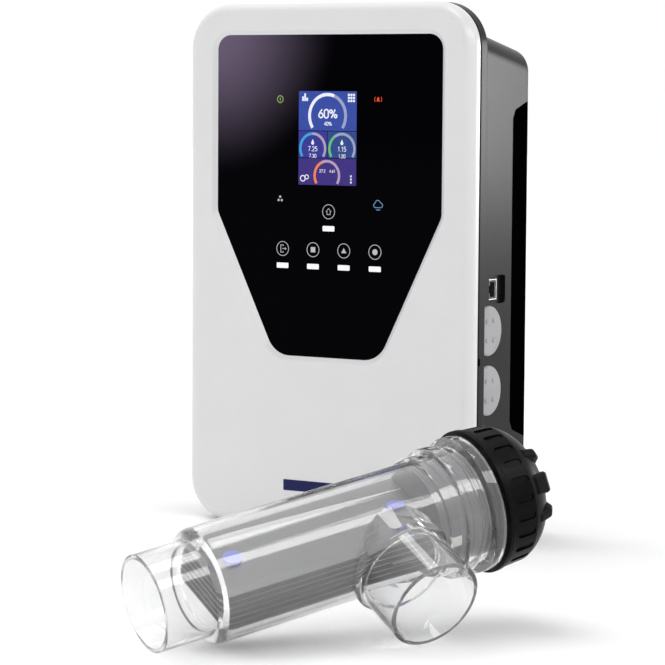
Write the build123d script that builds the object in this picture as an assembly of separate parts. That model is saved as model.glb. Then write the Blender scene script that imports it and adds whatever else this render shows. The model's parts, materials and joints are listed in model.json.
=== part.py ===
"""Salt chlorine generator: a control unit and its clear electrolysis cell.

Millimetres, +Z up. The origin is on the floor, in the middle of the control
unit's base. The unit's front faces -Y and its back, the wall face, is at +Y.
"""
from build123d import *
import math
import os

# ---- control unit: outside -------------------------------------------------
UNIT_WIDTH = 262.0
UNIT_HEIGHT = 416.0
UNIT_DEPTH = 100.0
FRONT = -UNIT_DEPTH / 2
BACK = UNIT_DEPTH / 2
MIDDLE = UNIT_HEIGHT / 2
CORNER_RADIUS = 35.0
COVER_DEPTH = 13.0
COVER_EDGE_RADIUS = 9.0
COVER_WALL = 3.0
TONGUE_CLEARANCE = 0.4
TONGUE_THICKNESS = 2.0
TONGUE_REACH = 4.0
SHADOW_GAP = 1.0
RIM_DEPTH = 11.0
RIM_WALL = 4.5
RIM_FLOOR = 3.0
GASKET_INSET = 5.2
GASKET_SIZE = 1.8
RIM_EDGE_RADIUS = 1.5
BODY_HALF_WIDTH = 127.0
BODY_WALL = 3.0
BODY_TOP_FRONT = 396.0
BODY_TOP_BACK = 381.0
BODY_TOP_RADIUS = 18.0
BODY_BOTTOM_RADIUS = 31.0
BACK_EDGE_RADIUS = 4.0

COVER_BACK = FRONT + COVER_DEPTH
RIM_FRONT = COVER_BACK + SHADOW_GAP
RIM_BACK = RIM_FRONT + RIM_DEPTH
BACK_PANEL_FRONT = BACK - BACK_EDGE_RADIUS

# ---- control unit: window, display and keys --------------------------------
WINDOW_TOP = 391.5
WINDOW_WAIST = 251.0
WINDOW_BOTTOM = 137.5
WINDOW_HALF_WIDTH = 104.0
WINDOW_FOOT_HALF_WIDTH = 48.5
WINDOW_TOP_RADIUS = 12.0
WINDOW_WAIST_RADIUS = 12.0
WINDOW_FOOT_RADIUS = 22.0
WINDOW_BEVEL = 3.5
LENS_FLANGE = 6.0
LENS_THICKNESS = 2.0
DISPLAY_WIDTH = 53.6
DISPLAY_HEIGHT = 73.6
DISPLAY_CENTRE_Z = 310.4
MODULE_WIDTH = 64.0
MODULE_HEIGHT = 92.0
MODULE_DEPTH = 3.6
CONTROL_BOARD_WIDTH = 150.0
CONTROL_BOARD_HEIGHT = 190.0
CONTROL_BOARD_Z = 283.0
HEADER_WIDTH = 42.0
HEADER_Z = 206.0
KEY_ROW_Z = 222.5
KEY_PITCH = 28.6
KEY_MIDDLE_X = 1.5
HOME_KEY_Z = 252.8
KEY_BAR_DROP = 13.3
KEY_BAR_WIDTH = 11.0
KEY_BAR_HEIGHT = 4.2
BADGE_WIDTH = 75.0
BADGE_HEIGHT = 8.5
BADGE_Z = 34.3
BADGE_RECESS = 0.6
LENS_FRONT = FRONT + COVER_WALL

# ---- control unit: right-hand wall -----------------------------------------
TRIM_FRONT = 23.0
TRIM_HALF_HEIGHT = 126.0
TRIM_FLARE = 8.0
TRIM_RECESS = 2.4
TRIM_THICKNESS = 1.5
GROMMET_RADIUS = 19.5
GROMMET_Y = -15.0
GROMMET_HEIGHTS = (163.0, 116.5)
JACK_Y = 0.5
JACK_Z = 194.5
JACK_RECESS_DEPTH = 3.5
JACK_POCKET_WIDTH = 26.0
JACK_POCKET_HEIGHT = 22.0
JACK_SHIELD_Y = -4.5
JACK_SHIELD_WIDTH = 13.5
JACK_SHIELD_HEIGHT = 16.0
JACK_DEPTH = 14.0
PRY_NOTCH_Z = 140.0
PRY_NOTCH_SIZE = 6.0

# ---- control unit: wall mounting and inside --------------------------------
BRACKET_WIDTH = 170.0
BRACKET_HEIGHT = 46.0
BRACKET_Z = 330.0
BRACKET_THICKNESS = 3.0
BRACKET_BACKING = 9.0
BRACKET_SCREW_X = 45.0
BRACKET_SCREW_Z = 14.0
WALL_HOLE_SPACING = 140.0
WALL_HOLE_RADIUS = 2.75
BOARD_WIDTH = 196.0
BOARD_HEIGHT = 290.0
BOARD_Z = 196.0
BOARD_THICKNESS = 1.6
BOARD_FRONT = 34.0
BOARD_SCREW_INSET = 8.0
STANDOFF_RADIUS = 4.0
TRANSFORMER_CORNER = (-84.0, 66.0)
TRANSFORMER_LIFT = 8.0
CORE_WIDTH = 72.0
CORE_HEIGHT = 60.0
CORE_DEPTH = 32.0
CORE_LEG = 12.0
CORE_WINDOW = 14.0
COIL_PROUD = 7.0
HEATSINK_CORNER = (10.0, 190.0)
HEATSINK_WIDTH = 74.0
HEATSINK_HEIGHT = 110.0
FIN_COUNT = 10
FIN_THICKNESS = 2.0
FIN_REACH = 40.0
TRANSISTOR_PITCH = 16.0
CAPACITOR_RADIUS = 11.0
CAPACITOR_HEIGHT = 34.0
CAPACITOR_X = (-76.0, -50.0, -24.0)
CAPACITOR_Z = 214.0
RELAY_X = (-86.0, -54.0, -22.0)
RELAY_Z = 262.0
RELAY_WIDTH = 28.0
RELAY_DEPTH = 16.0
TERMINAL_CORNER = (8.0, 62.0)
TERMINAL_WAYS = 8
TERMINAL_PITCH = 10.0
TERMINAL_DEPTH = 14.0
TERMINAL_SCREW_RADIUS = 2.3
FUSE_CORNER = (20.0, 96.0)
FUSE_LENGTH = 40.0
FUSE_SIZE = 12.0

# ---- electrolysis cell, along its own axis from the inlet rim ---------------
PIPE_RADIUS = 31.5
PIPE_BORE_RADIUS = 28.5
TUBE_RADIUS = 37.5
TUBE_BORE_RADIUS = 34.5
TUBE_START = 35.0
TUBE_END = 200.0
TUBE_SHOULDER_RADIUS = 7.0
STUB_SOCKET_DEPTH = 6.0
BRANCH_AT = 164.0
BRANCH_REACH = 77.0
BRANCH_THROAT_RADIUS = 27.0
BRANCH_FLARE = 2.5
BRANCH_FLARE_START = 36.5
BRANCH_ROOT = 41.0
COLLAR_RINGS = ((211.5, 222.0, 43.0), (230.0, 238.5, 45.5))
COLLAR_RADIUS = 39.8
COLLAR_END = 250.0
NUT_START = 240.0
NUT_RIM_RADIUS = 47.8
NUT_SHOULDER_RADIUS = 45.8
NUT_SHOULDER = 261.5
NUT_TOP = 282.0
NUT_TOP_RADIUS = 18.0
LUG_REACH = 279.0
LUG_PITCH = 30.0
LUG_HALF_WIDTH = 3.8
MAIN_LUG_HALF_WIDTH = 7.0
LUG_ROUNDING = 2.4
NUT_TURNED = 138.0
GRIP_POCKETS = 24
GRIP_POCKET_DEPTH = 1.5
GRIP_POCKET_LENGTH = 14.0
GRIP_POCKET_WIDTH = 5.0
GRIP_POCKET_INSET = 6.5
SLIP_RING_START = 254.8
SLIP_RING_END = 256.6
GAP = 0.35
PLATE_START = 41.0
PLATE_END = 192.0
PLATE_COUNT = 7
PLATE_PITCH = 4.4
PLATE_THICKNESS = 1.0
PLATE_WIDTH = 60.0
PLATE_TONGUE = 4.0
FLANGE_THICKNESS = 4.0
O_RING_STARTS = (228.0, 236.0)
O_RING_DEPTH = 3.0
TERMINALS = ((-14.0, 6.0), (0.0, 14.0), (14.0, 6.0))
TERMINAL_RADIUS = 2.95
SENSOR_RADIUS = 1.45
SENSOR_Y = 2.2
SENSOR_Z = -28.5
KEY_START = 202.0
KEY_END = 210.0
KEY_Y = -4.4
KEY_WIDTH = 7.0
KEY_INNER = 28.0
SPACER_POSITIONS = (61.0, 180.0)
SPACER_RADIUS = 6.0

# ---- how the cell lies on the floor: on its inlet rim and its branch rim -----
CELL_RISE = 11.7
CELL_HEADING = 61.1
CELL_INLET_X = 180.0
CELL_INLET_Y = -539.0
FLOOR_GAP = 0.3


def slab(outline, front, back):
    """An outline drawn in X and Z, made solid from y=front to y=back."""
    return extrude(Plane.XZ.offset(-front) * outline, amount=front - back)


def side_slab(outline, inner, outer):
    """An outline drawn in Y and Z, made solid from x=inner to x=outer."""
    return extrude(Plane.YZ.offset(inner) * outline, amount=outer - inner)


def block(x0, x1, y0, y1, z0, z1):
    """A box between two corners."""
    centre = ((x0 + x1) / 2, (y0 + y1) / 2, (z0 + z1) / 2)
    return Pos(*centre) * Box(abs(x1 - x0), abs(y1 - y0), abs(z1 - z0))


def rod(radius, start, end, y=0.0, z=0.0):
    """A cylinder along X."""
    return Pos((start + end) / 2, y, z) * Rot(0, 90, 0) * Cylinder(radius, end - start)


def stud(radius, front, back, x, z):
    """A cylinder along Y."""
    return Pos(x, (front + back) / 2, z) * Rot(90, 0, 0) * Cylinder(radius, back - front)


def side_disc(radius, inner, outer, y, z):
    """A cylinder along X through a side wall."""
    return Pos((inner + outer) / 2, y, z) * Rot(0, 90, 0) * Cylinder(radius, outer - inner)


def unit_outline(inset=0.0):
    """The unit's front outline, drawn in by inset."""
    shape = RectangleRounded(UNIT_WIDTH - 2 * inset, UNIT_HEIGHT - 2 * inset, CORNER_RADIUS - inset)
    return Pos(0, MIDDLE) * shape


def window_outline(grow=0.0):
    """The six-sided window, drawn out by grow."""
    corners = [
        (-WINDOW_HALF_WIDTH, WINDOW_TOP),
        (-WINDOW_HALF_WIDTH, WINDOW_WAIST),
        (-WINDOW_FOOT_HALF_WIDTH, WINDOW_BOTTOM),
        (WINDOW_FOOT_HALF_WIDTH, WINDOW_BOTTOM),
        (WINDOW_HALF_WIDTH, WINDOW_WAIST),
        (WINDOW_HALF_WIDTH, WINDOW_TOP),
    ]
    shape = make_face(Polyline(*corners, close=True))
    if grow:
        shape = offset(shape, grow, kind=Kind.INTERSECTION)
    by_height = shape.vertices().group_by(Axis.Y)
    foot, waist, top = by_height[0], by_height[1], by_height[-1]
    shape = fillet(top, WINDOW_TOP_RADIUS + grow)
    waist = shape.vertices().filter_by(lambda v: abs(v.Y - waist[0].Y) < 0.01)
    shape = fillet(waist, WINDOW_WAIST_RADIUS + grow)
    foot = shape.vertices().filter_by(lambda v: abs(v.Y - foot[0].Y) < 0.01)
    return fillet(foot, WINDOW_FOOT_RADIUS + grow)


# ---- control unit: covers ----------------------------------------------------
def front_cover():
    """The white front shell with its bevelled window and a tongue that enters the rim."""
    shell = slab(unit_outline(), FRONT, COVER_BACK)
    front_edges = shell.faces().sort_by(Axis.Y)[0].edges()
    shell = fillet(front_edges, COVER_EDGE_RADIUS)
    tongue_outer = RIM_WALL + TONGUE_CLEARANCE
    tongue_inner = tongue_outer + TONGUE_THICKNESS
    shell -= slab(unit_outline(COVER_WALL), FRONT + COVER_WALL, COVER_BACK - TONGUE_REACH)
    shell -= slab(unit_outline(tongue_inner), COVER_BACK - TONGUE_REACH - 1, COVER_BACK)
    tongue = slab(unit_outline(tongue_outer), COVER_BACK - TONGUE_REACH, COVER_BACK + TONGUE_REACH)
    tongue -= slab(unit_outline(tongue_inner), COVER_BACK - TONGUE_REACH - 1, COVER_BACK + TONGUE_REACH + 1)
    bevel = loft([
        Plane.XZ.offset(-FRONT) * window_outline(WINDOW_BEVEL),
        Plane.XZ.offset(-LENS_FRONT) * window_outline(),
    ])
    badge_seat = Pos(0, BADGE_Z) * RectangleRounded(BADGE_WIDTH + 0.6, BADGE_HEIGHT + 0.6, 1.0)
    recess = slab(badge_seat, FRONT, FRONT + BADGE_RECESS)
    return shell + tongue - bevel - recess


def window_lens():
    """The gloss black lens, bonded behind the cover's front wall."""
    return slab(window_outline(LENS_FLANGE), LENS_FRONT, LENS_FRONT + LENS_THICKNESS)


def display_module():
    """The liquid-crystal display's metal frame with its glass, behind the lens."""
    back = LENS_FRONT + LENS_THICKNESS
    outline = Pos(0, DISPLAY_CENTRE_Z - 4) * RectangleRounded(MODULE_WIDTH, MODULE_HEIGHT, 1.5)
    frame = slab(outline, back, back + MODULE_DEPTH)
    lip = slab(Pos(0, DISPLAY_CENTRE_Z) * Rectangle(DISPLAY_WIDTH, DISPLAY_HEIGHT), back, back + 0.5)
    return frame - lip


def display_glass():
    """The display's active area."""
    back = LENS_FRONT + LENS_THICKNESS
    return slab(Pos(0, DISPLAY_CENTRE_Z) * Rectangle(DISPLAY_WIDTH, DISPLAY_HEIGHT), back, back + 0.5)


def key_centres():
    """The home key over a row of four keys, as (x, z)."""
    row = [((i - 1.5) * KEY_PITCH + KEY_MIDDLE_X, KEY_ROW_Z) for i in range(4)]
    return [(KEY_MIDDLE_X, HOME_KEY_Z)] + row


def key_light_bars():
    """One light guide under each touch key, let into the lens from behind."""
    bars = []
    for x, z in key_centres():
        outline = Pos(x, z - KEY_BAR_DROP) * RectangleRounded(KEY_BAR_WIDTH, KEY_BAR_HEIGHT, 0.8)
        back = LENS_FRONT + LENS_THICKNESS
        bars.append(slab(outline, back, back + MODULE_DEPTH))
    return bars


def control_board():
    """The display and touch key board behind the lens."""
    front = LENS_FRONT + LENS_THICKNESS + MODULE_DEPTH
    outline = Pos(0, CONTROL_BOARD_Z) * RectangleRounded(CONTROL_BOARD_WIDTH, CONTROL_BOARD_HEIGHT, 3)
    return slab(outline, front, front + BOARD_THICKNESS)


def control_board_connector():
    """The header on the back of the control board."""
    front = LENS_FRONT + LENS_THICKNESS + MODULE_DEPTH + BOARD_THICKNESS
    return slab(Pos(0, HEADER_Z) * Rectangle(HEADER_WIDTH, 9), front, front + 6)


def front_badge():
    """A plain blue plate low on the cover."""
    outline = Pos(0, BADGE_Z) * RectangleRounded(BADGE_WIDTH, BADGE_HEIGHT, 0.8)
    return slab(outline, FRONT + 0.1, FRONT + BADGE_RECESS)


# ---- control unit: rear housing ----------------------------------------------
def body_block(inset, front, back):
    """The housing behind the rim, with its sloped top, drawn in by inset."""
    slope = (BODY_TOP_BACK - BODY_TOP_FRONT) / (BACK - RIM_BACK)
    top_front = BODY_TOP_FRONT - inset + slope * (front - RIM_BACK)
    top_back = BODY_TOP_FRONT - inset + slope * (back - RIM_BACK)
    corners = [(front, inset), (back, inset), (back, top_back), (front, top_front)]
    profile = make_face(Polyline(*corners, close=True))
    half = BODY_HALF_WIDTH - inset
    shape = side_slab(profile, -half, half)
    edges = shape.edges().filter_by(lambda e: abs(abs((e @ 0.5).X) - half) < 0.01)
    top = edges.filter_by(lambda e: (e @ 0.5).Z > MIDDLE * 1.5)
    shape = fillet(top, BODY_TOP_RADIUS - inset)
    edges = shape.edges().filter_by(lambda e: abs(abs((e @ 0.5).X) - half) < 0.01)
    bottom = edges.filter_by(lambda e: (e @ 0.5).Z < inset + 0.01)
    return fillet(bottom, BODY_BOTTOM_RADIUS - inset)


def jack_recess_outline():
    """The recess in the right-hand wall that the network jack sits in."""
    return Pos(JACK_Y, JACK_Z) * RectangleRounded(JACK_POCKET_WIDTH, JACK_POCKET_HEIGHT, 3)


def trim_outline(inset=0.0):
    """The side trim's outline, flared towards the back, in Y and Z."""
    low = MIDDLE - TRIM_HALF_HEIGHT + inset
    high = MIDDLE + TRIM_HALF_HEIGHT - inset
    front = TRIM_FRONT + inset
    points = [(front, low + 7), (front + 4, low), (BACK + 1, low - TRIM_FLARE)]
    points += [(BACK + 1, high + TRIM_FLARE), (front + 4, high), (front, high - 7)]
    return make_face(Polyline(*points, close=True))


def trim_slot(side):
    """The recess for a side trim."""
    return side_slab(trim_outline(), side * (BODY_HALF_WIDTH - TRIM_RECESS), side * (BODY_HALF_WIDTH + 1))


def grommet_outline(height, radius):
    """A round cable entry with a flat where it meets the rim, in Y and Z."""
    disc = Pos(GROMMET_Y, height) * Circle(radius)
    rim_side = Pos(RIM_BACK + 0.5 - 50, height) * Rectangle(100, 100)
    return disc - rim_side


def housing_rim():
    """The tray behind the cover, which holds the gasket and closes onto the walls."""
    rim = slab(unit_outline(), RIM_FRONT, RIM_BACK)
    rim = fillet(rim.faces().sort_by(Axis.Y)[0].edges(), RIM_EDGE_RADIUS)
    rim = fillet(rim.faces().sort_by(Axis.Y)[-1].edges(), RIM_EDGE_RADIUS)
    rim -= slab(unit_outline(RIM_WALL), RIM_FRONT - 1, RIM_BACK - RIM_FLOOR)
    rim -= body_block(BODY_WALL, RIM_FRONT, BACK)
    for side in (-1, 1):
        edge = side * UNIT_WIDTH / 2
        low = PRY_NOTCH_Z - PRY_NOTCH_SIZE / 2
        high = PRY_NOTCH_Z + PRY_NOTCH_SIZE / 2
        rim -= block(edge - 2.5, edge + 2.5, RIM_FRONT - 1, RIM_FRONT + 3.5, low, high)
    return rim


def body_outside():
    """The body's outside, with its rounded back edge and flat base."""
    body = body_block(0.0, RIM_BACK, BACK)
    edges = body.faces().sort_by(Axis.Y)[-1].edges().filter_by(lambda e: (e @ 0.5).Z > 1)
    return fillet(edges, BACK_EDGE_RADIUS)


def housing_walls():
    """The four walls behind the rim, with the trim slots, jack pocket and cable entries."""
    walls = body_outside() & block(-UNIT_WIDTH, UNIT_WIDTH, RIM_BACK, BACK_PANEL_FRONT, -1, UNIT_HEIGHT)
    walls -= body_block(BODY_WALL, RIM_BACK - 1, BACK)
    for side in (-1, 1):
        pad_inner = side * (BODY_HALF_WIDTH - TRIM_RECESS - BODY_WALL)
        pad = side_slab(trim_outline(-3), pad_inner, side * (BODY_HALF_WIDTH - 1))
        walls += pad & body_block(0.5, RIM_BACK, BACK_PANEL_FRONT)
        walls -= trim_slot(side)
    inner = BODY_HALF_WIDTH - BODY_WALL
    pocket = Pos(JACK_Y, JACK_Z) * RectangleRounded(JACK_POCKET_WIDTH + 6, JACK_POCKET_HEIGHT + 6, 4)
    walls += side_slab(pocket, inner - 3.5, BODY_HALF_WIDTH - 0.5)
    walls -= side_slab(jack_recess_outline(), BODY_HALF_WIDTH - JACK_RECESS_DEPTH, BODY_HALF_WIDTH + 1)
    hole = Pos(JACK_SHIELD_Y, JACK_Z) * Rectangle(JACK_SHIELD_WIDTH + 0.6, JACK_SHIELD_HEIGHT + 0.6)
    walls -= side_slab(hole, inner - 5, BODY_HALF_WIDTH)
    for height in GROMMET_HEIGHTS:
        walls -= side_slab(grommet_outline(height, GROMMET_RADIUS - 4), inner - 1, BODY_HALF_WIDTH + 1)
    return walls


def housing_back():
    """The back panel, with the bosses for the power board and the bracket's seat."""
    panel = body_outside() & block(-UNIT_WIDTH, UNIT_WIDTH, BACK_PANEL_FRONT, BACK, -1, UNIT_HEIGHT)
    for side in (-1, 1):
        panel -= trim_slot(side)
    for x, z in board_fixings():
        panel += stud(STANDOFF_RADIUS + 1, BOARD_FRONT + BOARD_THICKNESS + 5, BACK - 1, x, z)
    backing = Pos(0, BRACKET_Z) * RectangleRounded(BRACKET_WIDTH + 8, BRACKET_HEIGHT + 8, 8)
    panel += slab(backing, BACK - BRACKET_BACKING, BACK - 1)
    seat = Pos(0, BRACKET_Z) * RectangleRounded(BRACKET_WIDTH + 1, BRACKET_HEIGHT + 1, 5)
    panel -= slab(seat, BACK - BRACKET_THICKNESS, BACK + 1)
    for x, z in bracket_fixings():
        panel -= stud(1.6, BACK - BRACKET_BACKING + 1, BACK, x, z)
    return panel


def side_trim(side):
    """A gloss black strip let into a side wall at the back."""
    outer = BODY_HALF_WIDTH - TRIM_RECESS + TRIM_THICKNESS
    strip = side_slab(trim_outline(0.3), side * (BODY_HALF_WIDTH - TRIM_RECESS), side * outer)
    return strip & block(-200, 200, TRIM_FRONT, BACK - 1.2, 0, UNIT_HEIGHT)


def cable_grommet(height):
    """A grey elastomer cable entry: a low dome with four pips, clipped into the wall."""
    wall = BODY_HALF_WIDTH
    disc = side_slab(grommet_outline(height, GROMMET_RADIUS), wall, wall + 2.6)
    disc = fillet(disc.faces().sort_by(Axis.X)[-1].edges(), 1.6)
    disc += side_slab(grommet_outline(height, GROMMET_RADIUS - 4.3), wall - BODY_WALL - 2, wall + 0.5)
    for y in (GROMMET_Y - 5, GROMMET_Y + 6):
        for z in (height - 7.5, height + 7.5):
            pip = side_disc(1.8, wall + 1, wall + 3.6, y, z)
            disc += fillet(pip.faces().sort_by(Axis.X)[-1].edges(), 0.8)
    return disc


def jack_shield():
    """The network jack's folded metal shield."""
    inner = BODY_HALF_WIDTH - BODY_WALL - JACK_DEPTH
    outer = BODY_HALF_WIDTH - 1.6
    at = Pos(JACK_SHIELD_Y, JACK_Z)
    shell = side_slab(at * Rectangle(JACK_SHIELD_WIDTH, JACK_SHIELD_HEIGHT), inner, outer)
    inside = at * Rectangle(JACK_SHIELD_WIDTH - 1.4, JACK_SHIELD_HEIGHT - 1.4)
    return shell - side_slab(inside, inner - 1, outer + 1)


def jack_insert():
    """The jack's black insert with its latch slot."""
    inner = BODY_HALF_WIDTH - BODY_WALL - JACK_DEPTH
    outer = BODY_HALF_WIDTH - 2.0
    at = Pos(JACK_SHIELD_Y, JACK_Z)
    body = side_slab(at * Rectangle(JACK_SHIELD_WIDTH - 1.4, JACK_SHIELD_HEIGHT - 1.4), inner, outer)
    mouth = side_slab(Pos(JACK_SHIELD_Y + 0.6, JACK_Z) * Rectangle(7.0, 11.8), inner + 3, outer + 1)
    latch = side_slab(Pos(JACK_SHIELD_Y - 3.6, JACK_Z) * Rectangle(2.6, 6.0), inner + 3, outer + 1)
    return body - mouth - latch


def jack_contacts():
    """Eight spring contacts in the jack."""
    inner = BODY_HALF_WIDTH - BODY_WALL - JACK_DEPTH + 3
    y = JACK_SHIELD_Y + 3.6
    return [block(inner, inner + 9, y - 0.9, y - 0.2, z - 0.25, z + 0.25)
            for z in (JACK_Z + (i - 3.5) * 1.27 for i in range(8))]


def wall_bracket():
    """The wall plate, let into the back, with two wall screw holes."""
    outline = Pos(0, BRACKET_Z) * RectangleRounded(BRACKET_WIDTH, BRACKET_HEIGHT, 4.5)
    plate = slab(outline, BACK - BRACKET_THICKNESS, BACK)
    for side in (-1, 1):
        plate -= stud(WALL_HOLE_RADIUS, BACK - 5, BACK + 1, side * WALL_HOLE_SPACING / 2, BRACKET_Z)
    for x, z in bracket_fixings():
        plate -= stud(2.2, BACK - 5, BACK + 1, x, z)
    return plate


def bracket_fixings():
    """Where four screws hold the wall bracket to the housing, as (x, z)."""
    signs = [(-1, -1), (-1, 1), (1, -1), (1, 1)]
    return [(sx * BRACKET_SCREW_X, BRACKET_Z + sz * BRACKET_SCREW_Z) for sx, sz in signs]


def wall_bracket_screws():
    """Four countersunk screws through the wall bracket."""
    screws = []
    for x, z in bracket_fixings():
        head = stud(2.1, BACK - BRACKET_THICKNESS, BACK - 0.4, x, z)
        screws.append(head + stud(1.5, BACK - 7, BACK - BRACKET_THICKNESS, x, z))
    return screws


def cover_gasket():
    """The rubber seal in the floor of the rim tray."""
    back = RIM_BACK - RIM_FLOOR
    ring_shape = slab(unit_outline(GASKET_INSET), back - GASKET_SIZE, back)
    return ring_shape - slab(unit_outline(GASKET_INSET + GASKET_SIZE), back - GASKET_SIZE - 1, back + 1)


# ---- control unit: electronics -------------------------------------------------
def board_fixings():
    """Where the power board is screwed down, as (x, z)."""
    across = BOARD_WIDTH / 2 - BOARD_SCREW_INSET
    up = BOARD_HEIGHT / 2 - BOARD_SCREW_INSET
    return [(sx * across, BOARD_Z + sz * up) for sx in (-1, 1) for sz in (-1, 1)]


def power_board():
    """The power supply board."""
    outline = Pos(0, BOARD_Z) * RectangleRounded(BOARD_WIDTH, BOARD_HEIGHT, 3)
    board = slab(outline, BOARD_FRONT, BOARD_FRONT + BOARD_THICKNESS)
    for x, z in board_fixings():
        board -= stud(2.2, BOARD_FRONT - 1, BOARD_FRONT + 3, x, z)
    return board


def board_spacers():
    """Four spacers between the power board and the housing's bosses."""
    start = BOARD_FRONT + BOARD_THICKNESS
    return [stud(STANDOFF_RADIUS, start, start + 5, x, z) - stud(2.2, start - 1, start + 6, x, z)
            for x, z in board_fixings()]


def board_screws():
    """Four pan-head screws that hold the power board."""
    screws = []
    for x, z in board_fixings():
        shank = stud(1.9, BOARD_FRONT, BOARD_FRONT + BOARD_THICKNESS + 5, x, z)
        screws.append(stud(3.6, BOARD_FRONT - 2.4, BOARD_FRONT, x, z) + shank)
    return screws


def transformer_core():
    """The transformer's laminated core, with two windows."""
    left, foot = TRANSFORMER_CORNER
    near = BOARD_FRONT - TRANSFORMER_LIFT
    core = block(left, left + CORE_WIDTH, near - CORE_DEPTH, near, foot, foot + CORE_HEIGHT)
    for x in (left + CORE_LEG, left + CORE_WIDTH - CORE_LEG - CORE_WINDOW):
        window = (foot + CORE_LEG, foot + CORE_HEIGHT - CORE_LEG)
        core -= block(x, x + CORE_WINDOW, near - CORE_DEPTH - 1, near + 1, *window)
    return core


def transformer_coil():
    """The transformer's winding round the core's middle leg, on a former that stands on the board."""
    left, foot = TRANSFORMER_CORNER
    near = BOARD_FRONT - TRANSFORMER_LIFT
    x0 = left + CORE_LEG + 0.5
    x1 = left + CORE_WIDTH - CORE_LEG - 0.5
    z0 = foot + CORE_LEG + 0.5
    z1 = foot + CORE_HEIGHT - CORE_LEG - 0.5
    coil = block(x0, x1, near - CORE_DEPTH - COIL_PROUD, BOARD_FRONT, z0, z1)
    middle = (left + CORE_LEG + CORE_WINDOW, left + CORE_WIDTH - CORE_LEG - CORE_WINDOW)
    return coil - block(*middle, near - CORE_DEPTH, near, z0 - 1, z1 + 1)


def heatsink():
    """A finned aluminium heatsink."""
    left, foot = HEATSINK_CORNER
    base = (BOARD_FRONT - 8, BOARD_FRONT - 2)
    sink = block(left, left + HEATSINK_WIDTH, *base, foot, foot + HEATSINK_HEIGHT)
    pitch = (HEATSINK_WIDTH - FIN_THICKNESS) / (FIN_COUNT - 1)
    for i in range(FIN_COUNT):
        x = left + i * pitch
        sink += block(x, x + FIN_THICKNESS, BOARD_FRONT - FIN_REACH, base[0] + 1, foot, foot + HEATSINK_HEIGHT)
    return sink


def power_transistors():
    """Four transistors bolted under the heatsink."""
    left, foot = HEATSINK_CORNER
    starts = [left + 8 + i * TRANSISTOR_PITCH for i in range(4)]
    return [block(x, x + 10, BOARD_FRONT - 2, BOARD_FRONT, foot + 15, foot + 31) for x in starts]


def filter_capacitors():
    """Three can capacitors."""
    near = BOARD_FRONT - CAPACITOR_HEIGHT
    return [stud(CAPACITOR_RADIUS, near, BOARD_FRONT, x, CAPACITOR_Z) for x in CAPACITOR_X]


def relays():
    """Three relays."""
    near = BOARD_FRONT - RELAY_DEPTH
    return [block(x, x + RELAY_WIDTH, near, BOARD_FRONT, RELAY_Z, RELAY_Z + RELAY_DEPTH) for x in RELAY_X]


def terminal_places():
    """The middle of each way of the terminal strip, as (x, z)."""
    left, foot = TERMINAL_CORNER
    return [(left + TERMINAL_PITCH * (i + 0.5), foot + TERMINAL_DEPTH / 2) for i in range(TERMINAL_WAYS)]


def terminal_block():
    """The screw terminal strip along the board's foot."""
    left, foot = TERMINAL_CORNER
    near = BOARD_FRONT - TERMINAL_DEPTH
    strip = block(left, left + TERMINAL_WAYS * TERMINAL_PITCH, near, BOARD_FRONT, foot, foot + TERMINAL_DEPTH)
    for x, z in terminal_places():
        strip -= stud(TERMINAL_SCREW_RADIUS + 0.1, near - 1, near + 5, x, z)
    return strip


def terminal_screws():
    """The clamp screws in the terminal strip."""
    near = BOARD_FRONT - TERMINAL_DEPTH
    return [stud(TERMINAL_SCREW_RADIUS, near + 2, near + 5, x, z) for x, z in terminal_places()]


def fuse_holder():
    """The mains fuse holder."""
    left, foot = FUSE_CORNER
    return block(left, left + FUSE_LENGTH, BOARD_FRONT - FUSE_SIZE, BOARD_FRONT, foot, foot + FUSE_SIZE)


# ---- electrolysis cell, built along +X with its branch along -Z -----------------
def ring(outer, inner, start, end):
    """A plain ring along X."""
    return rod(outer, start, end) - rod(inner, start - 1, end + 1)


def branch_rod(radius, near, far):
    """A cylinder along the branch, which points to -Z."""
    return Pos(BRANCH_AT, 0, -(near + far) / 2) * Cylinder(radius, far - near)


def cell_tube():
    """The clear tube with a rounded shoulder, a socket for the stub and the branch's hole."""
    tube = rod(TUBE_RADIUS, TUBE_START, TUBE_END)
    tube = fillet(tube.edges().sort_by(Axis.X)[0], TUBE_SHOULDER_RADIUS)
    tube -= rod(TUBE_BORE_RADIUS, TUBE_START + STUB_SOCKET_DEPTH, TUBE_END + 1)
    tube -= rod(PIPE_BORE_RADIUS, TUBE_START - 1, TUBE_START + STUB_SOCKET_DEPTH + 1)
    return tube - branch_rod(BRANCH_THROAT_RADIUS, 5, TUBE_RADIUS + 5)


def inlet_stub():
    """The clear inlet stub, for a glued 63 mm union."""
    return ring(PIPE_RADIUS, PIPE_BORE_RADIUS, 0, TUBE_START)


def side_branch():
    """The clear outlet branch, saddle-jointed to the tube, with a flared root and a stop inside."""
    branch = branch_rod(PIPE_RADIUS, 0, BRANCH_REACH)
    flare = Cone(PIPE_RADIUS + BRANCH_FLARE, PIPE_RADIUS, BRANCH_ROOT - BRANCH_FLARE_START)
    middle = (BRANCH_ROOT + BRANCH_FLARE_START) / 2
    branch += Pos(BRANCH_AT, 0, -middle) * Rot(180, 0, 0) * flare
    branch += branch_rod(PIPE_RADIUS + BRANCH_FLARE, 0, BRANCH_FLARE_START)
    branch -= rod(TUBE_RADIUS, BRANCH_AT - 60, BRANCH_AT + 60)
    branch -= branch_rod(BRANCH_THROAT_RADIUS, 0, BRANCH_REACH)
    return branch - branch_rod(PIPE_BORE_RADIUS, BRANCH_ROOT, BRANCH_REACH + 1)


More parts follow.
